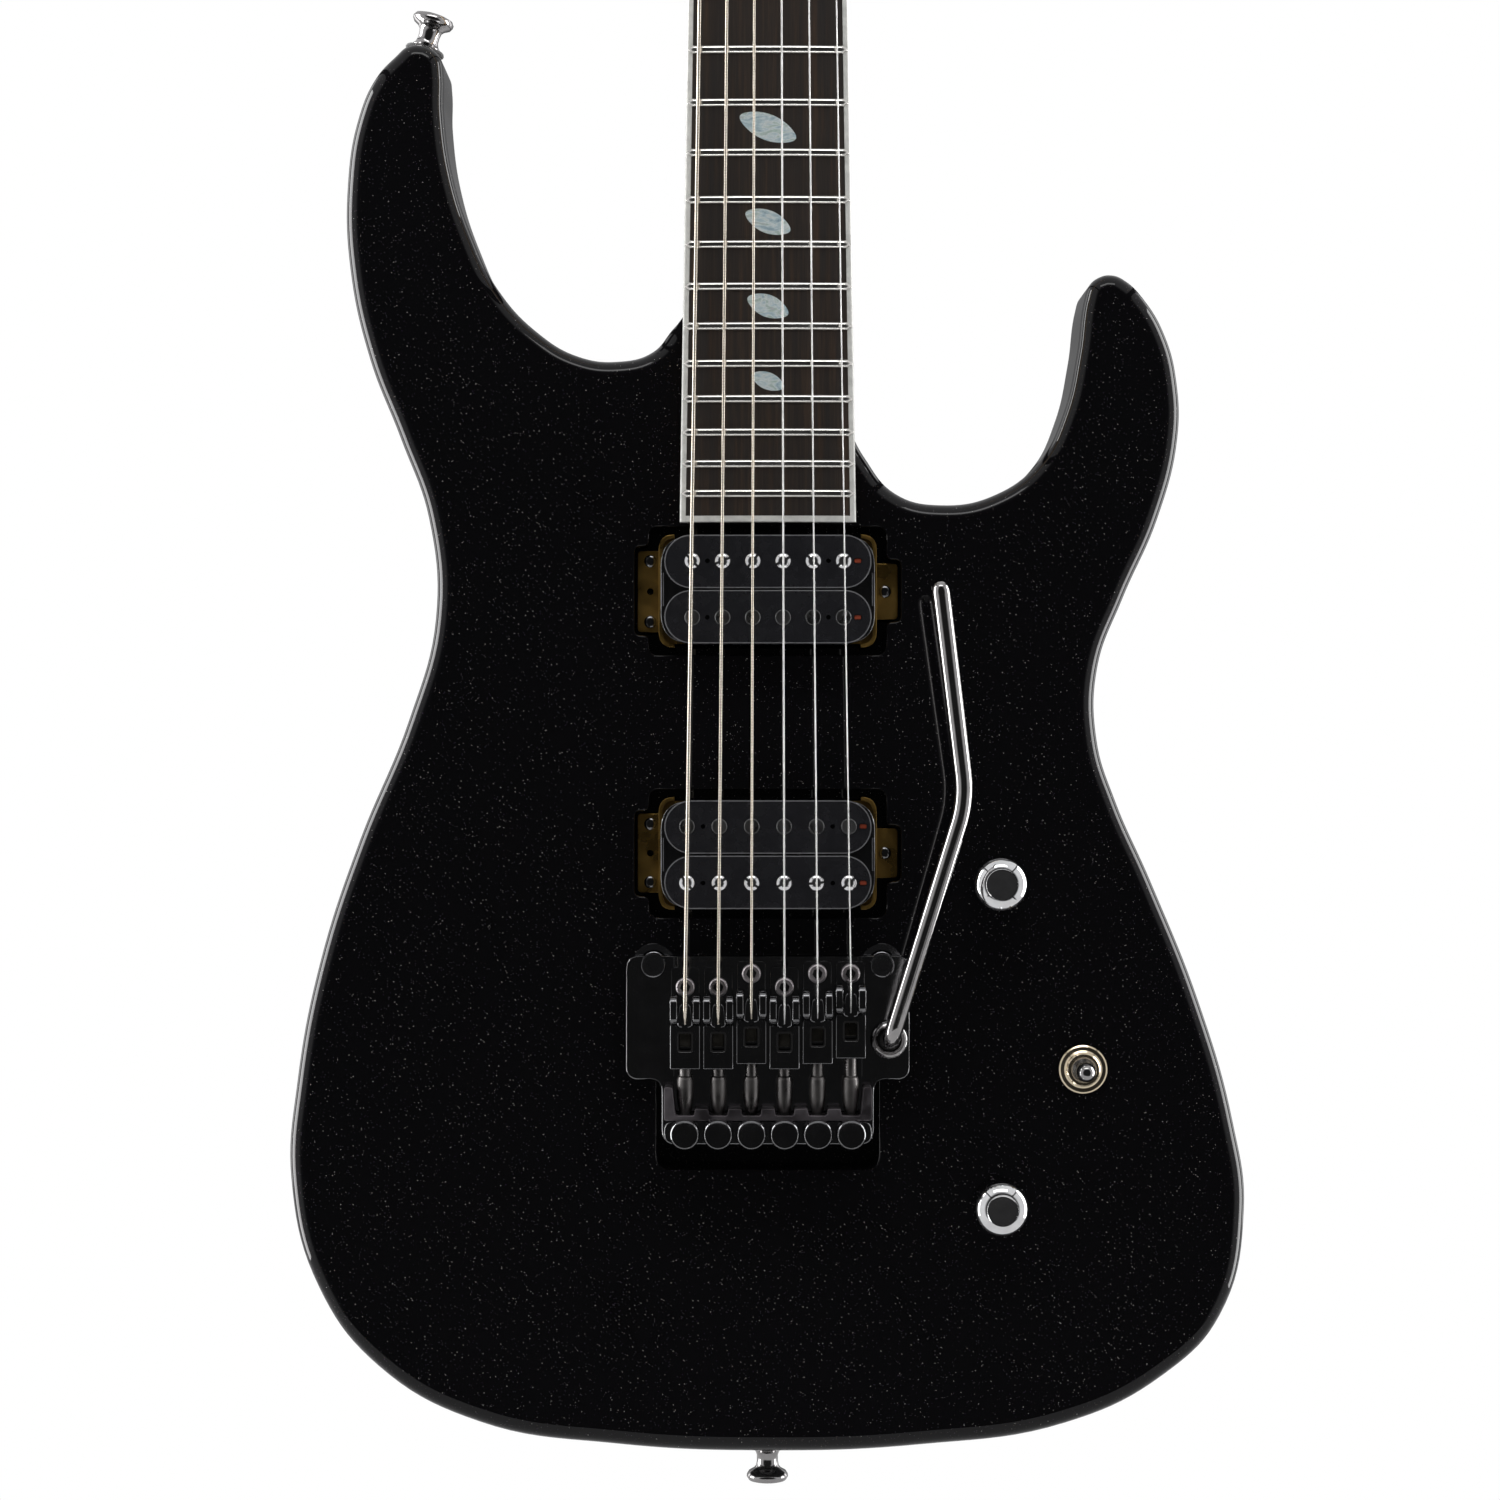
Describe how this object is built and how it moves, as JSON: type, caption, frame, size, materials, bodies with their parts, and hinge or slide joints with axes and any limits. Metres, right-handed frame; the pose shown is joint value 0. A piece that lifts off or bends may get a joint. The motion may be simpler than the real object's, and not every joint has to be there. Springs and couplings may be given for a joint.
{
  "type": "electric guitar",
  "caption": "Solid-body electric guitar with two cutaways, bolt-on neck, two humbucking pickups and a locking tremolo, held up by its headstock.",
  "frame": {"origin": "on the centreline where a wall hanger's yoke holds the shoulders of the headstock, in the plane of the body's face", "axes": "+Z along the neck towards the headstock, -Y out of the face of the body, +X to the treble side"},
  "size_m": [0.3152, 0.1009, 1.0066],
  "materials": {
    "black_lacquer": "gloss black lacquer with very fine metal flake",
    "maple": "satin",
    "ebony": "satin, open grain",
    "white_binding": "gloss",
    "cover_plastic": "fine matt texture",
    "pickup_plastic": "gloss",
    "steel": "satin",
    "bright_chrome": "polished",
    "black_chrome": "polished black",
    "brass": "satin",
    "pearl": "mother of pearl",
    "felt": "felt"
  },
  "bodies": {
    "guitar": {"body": "black_lacquer", "neck": "maple", "fretboard": "ebony", "fretboard_binding": "white_binding", "truss_rod": "steel", "spring_cover": "cover_plastic", "control_cover": "cover_plastic", "nut_base": "black_chrome", "nut_clamp_1": "black_chrome", "nut_clamp_2": "black_chrome", "nut_clamp_3": "black_chrome", "tuner_housings": "black_chrome", "string_1": "steel", "string_2": "steel", "string_3": "steel", "string_4": "steel", "string_5": "steel", "string_6": "steel", "neck_pickup": "pickup_plastic", "bridge_pickup": "pickup_plastic", "pivot_post_bass": "black_chrome", "pivot_post_treble": "black_chrome", "spring_claw": "steel", "control_harness": "steel", "output_jack": "steel", "strap_button_horn": "black_chrome", "strap_button_end": "black_chrome", "tremolo_spring_1": "steel", "tremolo_spring_2": "steel", "tremolo_spring_3": "steel"},
    "tremolo": {"tremolo_baseplate": "black_chrome", "sustain_block": "steel"},
    "tremolo_arm": {"tremolo_arm": "black_chrome"},
    "volume_knob": {"volume_knob": "bright_chrome"},
    "tone_knob": {"tone_knob": "bright_chrome"},
    "switch_lever": {"switch_lever": "bright_chrome"},
    "fine_tuner_1": {"fine_tuner_1": "black_chrome"},
    "saddle_1": {"saddle_1": "black_chrome"},
    "fine_tuner_2": {"fine_tuner_2": "black_chrome"},
    "saddle_2": {"saddle_2": "black_chrome"},
    "fine_tuner_3": {"fine_tuner_3": "black_chrome"},
    "saddle_3": {"saddle_3": "black_chrome"},
    "fine_tuner_4": {"fine_tuner_4": "black_chrome"},
    "saddle_4": {"saddle_4": "black_chrome"},
    "fine_tuner_5": {"fine_tuner_5": "black_chrome"},
    "saddle_5": {"saddle_5": "black_chrome"},
    "fine_tuner_6": {"fine_tuner_6": "black_chrome"},
    "saddle_6": {"saddle_6": "black_chrome"},
    "tuner_button_1": {"tuner_button_1": "black_chrome"},
    "tuner_post_1": {"tuner_post_1": "steel"},
    "tuner_button_2": {"tuner_button_2": "black_chrome"},
    "tuner_post_2": {"tuner_post_2": "steel"},
    "tuner_button_3": {"tuner_button_3": "black_chrome"},
    "tuner_post_3": {"tuner_post_3": "steel"},
    "tuner_button_4": {"tuner_button_4": "black_chrome"},
    "tuner_post_4": {"tuner_post_4": "steel"},
    "tuner_button_5": {"tuner_button_5": "black_chrome"},
    "tuner_post_5": {"tuner_post_5": "steel"},
    "tuner_button_6": {"tuner_button_6": "black_chrome"},
    "tuner_post_6": {"tuner_post_6": "steel"}
  },
  "joints": [
    {"name": "tremolo_rock", "type": "hinge", "parent": "guitar", "child": "tremolo", "pos_m": [0, -0.0043, -0.6631], "axis": [1, 0, 0], "range_deg": [-10, 4], "stiffness_Nm_per_rad": 10, "deforming": ["string_1", "string_2", "string_3", "string_4", "string_5", "string_6", "tremolo_spring_1", "tremolo_spring_2", "tremolo_spring_3"]},
    {"name": "arm_swing", "type": "hinge", "parent": "tremolo", "child": "tremolo_arm", "pos_m": [0.0395, -0.003, -0.6872], "axis": [0, 1, 0], "range_deg": [-30, 120]},
    {"name": "volume_turn", "type": "hinge", "parent": "guitar", "child": "volume_knob", "pos_m": [0.0753, 0, -0.6365], "axis": [0, 1, 0], "range_deg": [-150, 150]},
    {"name": "tone_turn", "type": "hinge", "parent": "guitar", "child": "tone_knob", "pos_m": [0.0756, 0, -0.7414], "axis": [0, 1, 0], "range_deg": [-150, 150]},
    {"name": "switch_tilt", "type": "hinge", "parent": "guitar", "child": "switch_lever", "pos_m": [0.103, 0.003, -0.6974], "axis": [1, 0, 0], "range_deg": [-12, 12]},
    {"name": "fine_tuner_turn_1", "type": "hinge", "parent": "tremolo", "child": "fine_tuner_1", "pos_m": [-0.0268, -0.014, -0.7167], "axis": [0, 1, 0], "range_deg": [-270, 270]},
    {"name": "saddle_tilt_1", "type": "hinge", "parent": "tremolo", "child": "saddle_1", "pos_m": [-0.0268, -0.0062, -0.671], "axis": [1, 0, 0], "range_deg": [-0.8, 0.8]},
    {"name": "fine_tuner_turn_2", "type": "hinge", "parent": "tremolo", "child": "fine_tuner_2", "pos_m": [-0.01608, -0.014, -0.7167], "axis": [0, 1, 0], "range_deg": [-270, 270]},
    {"name": "saddle_tilt_2", "type": "hinge", "parent": "tremolo", "child": "saddle_2", "pos_m": [-0.01608, -0.0062, -0.671], "axis": [1, 0, 0], "range_deg": [-0.8, 0.8]},
    {"name": "fine_tuner_turn_3", "type": "hinge", "parent": "tremolo", "child": "fine_tuner_3", "pos_m": [-0.00536, -0.014, -0.7167], "axis": [0, 1, 0], "range_deg": [-270, 270]},
    {"name": "saddle_tilt_3", "type": "hinge", "parent": "tremolo", "child": "saddle_3", "pos_m": [-0.00536, -0.0062, -0.671], "axis": [1, 0, 0], "range_deg": [-0.8, 0.8]},
    {"name": "fine_tuner_turn_4", "type": "hinge", "parent": "tremolo", "child": "fine_tuner_4", "pos_m": [0.00536, -0.014, -0.7167], "axis": [0, 1, 0], "range_deg": [-270, 270]},
    {"name": "saddle_tilt_4", "type": "hinge", "parent": "tremolo", "child": "saddle_4", "pos_m": [0.00536, -0.0062, -0.671], "axis": [1, 0, 0], "range_deg": [-0.8, 0.8]},
    {"name": "fine_tuner_turn_5", "type": "hinge", "parent": "tremolo", "child": "fine_tuner_5", "pos_m": [0.01608, -0.014, -0.7167], "axis": [0, 1, 0], "range_deg": [-270, 270]},
    {"name": "saddle_tilt_5", "type": "hinge", "parent": "tremolo", "child": "saddle_5", "pos_m": [0.01608, -0.0062, -0.671], "axis": [1, 0, 0], "range_deg": [-0.8, 0.8]},
    {"name": "fine_tuner_turn_6", "type": "hinge", "parent": "tremolo", "child": "fine_tuner_6", "pos_m": [0.0268, -0.014, -0.7167], "axis": [0, 1, 0], "range_deg": [-270, 270]},
    {"name": "saddle_tilt_6", "type": "hinge", "parent": "tremolo", "child": "saddle_6", "pos_m": [0.0268, -0.0062, -0.671], "axis": [1, 0, 0], "range_deg": [-0.8, 0.8]},
    {"name": "tuner_button_turn_1", "type": "hinge", "parent": "guitar", "child": "tuner_button_1", "pos_m": [-0.01972, 0.02313, 0.02579], "axis": [-0.9664, 0.0491, 0.2525], "continuous": true},
    {"name": "tuner_post_turn_1", "type": "hinge", "parent": "guitar", "child": "tuner_post_1", "pos_m": [-0.0209, 0.00235, 0.0253], "axis": [0, -0.9816, 0.1908], "continuous": true},
    {"name": "tuner_button_turn_2", "type": "hinge", "parent": "guitar", "child": "tuner_button_2", "pos_m": [-0.0128, 0.02809, 0.05131], "axis": [-0.9664, 0.0491, 0.2525], "continuous": true},
    {"name": "tuner_post_turn_2", "type": "hinge", "parent": "guitar", "child": "tuner_post_2", "pos_m": [-0.01398, 0.00731, 0.05082], "axis": [0, -0.9816, 0.1908], "continuous": true},
    {"name": "tuner_button_turn_3", "type": "hinge", "parent": "guitar", "child": "tuner_button_3", "pos_m": [-0.00588, 0.03305, 0.07684], "axis": [-0.9664, 0.0491, 0.2525], "continuous": true},
    {"name": "tuner_post_turn_3", "type": "hinge", "parent": "guitar", "child": "tuner_post_3", "pos_m": [-0.00706, 0.01227, 0.07635], "axis": [0, -0.9816, 0.1908], "continuous": true},
    {"name": "tuner_button_turn_4", "type": "hinge", "parent": "guitar", "child": "tuner_button_4", "pos_m": [0.00104, 0.03801, 0.10236], "axis": [-0.9664, 0.0491, 0.2525], "continuous": true},
    {"name": "tuner_post_turn_4", "type": "hinge", "parent": "guitar", "child": "tuner_post_4", "pos_m": [-0.00014, 0.01723, 0.10187], "axis": [0, -0.9816, 0.1908], "continuous": true},
    {"name": "tuner_button_turn_5", "type": "hinge", "parent": "guitar", "child": "tuner_button_5", "pos_m": [0.00796, 0.04297, 0.12788], "axis": [-0.9664, 0.0491, 0.2525], "continuous": true},
    {"name": "tuner_post_turn_5", "type": "hinge", "parent": "guitar", "child": "tuner_post_5", "pos_m": [0.00678, 0.02219, 0.12739], "axis": [0, -0.9816, 0.1908], "continuous": true},
    {"name": "tuner_button_turn_6", "type": "hinge", "parent": "guitar", "child": "tuner_button_6", "pos_m": [0.01488, 0.04793, 0.1534], "axis": [-0.9664, 0.0491, 0.2525], "continuous": true},
    {"name": "tuner_post_turn_6", "type": "hinge", "parent": "guitar", "child": "tuner_post_6", "pos_m": [0.0137, 0.02716, 0.15291], "axis": [0, -0.9816, 0.1908], "continuous": true}
  ],
  "couplings": [
    {"joint": "saddle_tilt_1", "follows": "fine_tuner_turn_1", "ratio": 0.0028},
    {"joint": "saddle_tilt_2", "follows": "fine_tuner_turn_2", "ratio": 0.0028},
    {"joint": "saddle_tilt_3", "follows": "fine_tuner_turn_3", "ratio": 0.0028},
    {"joint": "saddle_tilt_4", "follows": "fine_tuner_turn_4", "ratio": 0.0028},
    {"joint": "saddle_tilt_5", "follows": "fine_tuner_turn_5", "ratio": 0.0028},
    {"joint": "saddle_tilt_6", "follows": "fine_tuner_turn_6", "ratio": 0.0028},
    {"joint": "tuner_post_turn_1", "follows": "tuner_button_turn_1", "ratio": 0.0625},
    {"joint": "tuner_post_turn_2", "follows": "tuner_button_turn_2", "ratio": 0.0625},
    {"joint": "tuner_post_turn_3", "follows": "tuner_button_turn_3", "ratio": 0.0625},
    {"joint": "tuner_post_turn_4", "follows": "tuner_button_turn_4", "ratio": 0.0625},
    {"joint": "tuner_post_turn_5", "follows": "tuner_button_turn_5", "ratio": 0.0625},
    {"joint": "tuner_post_turn_6", "follows": "tuner_button_turn_6", "ratio": 0.0625}
  ]
}
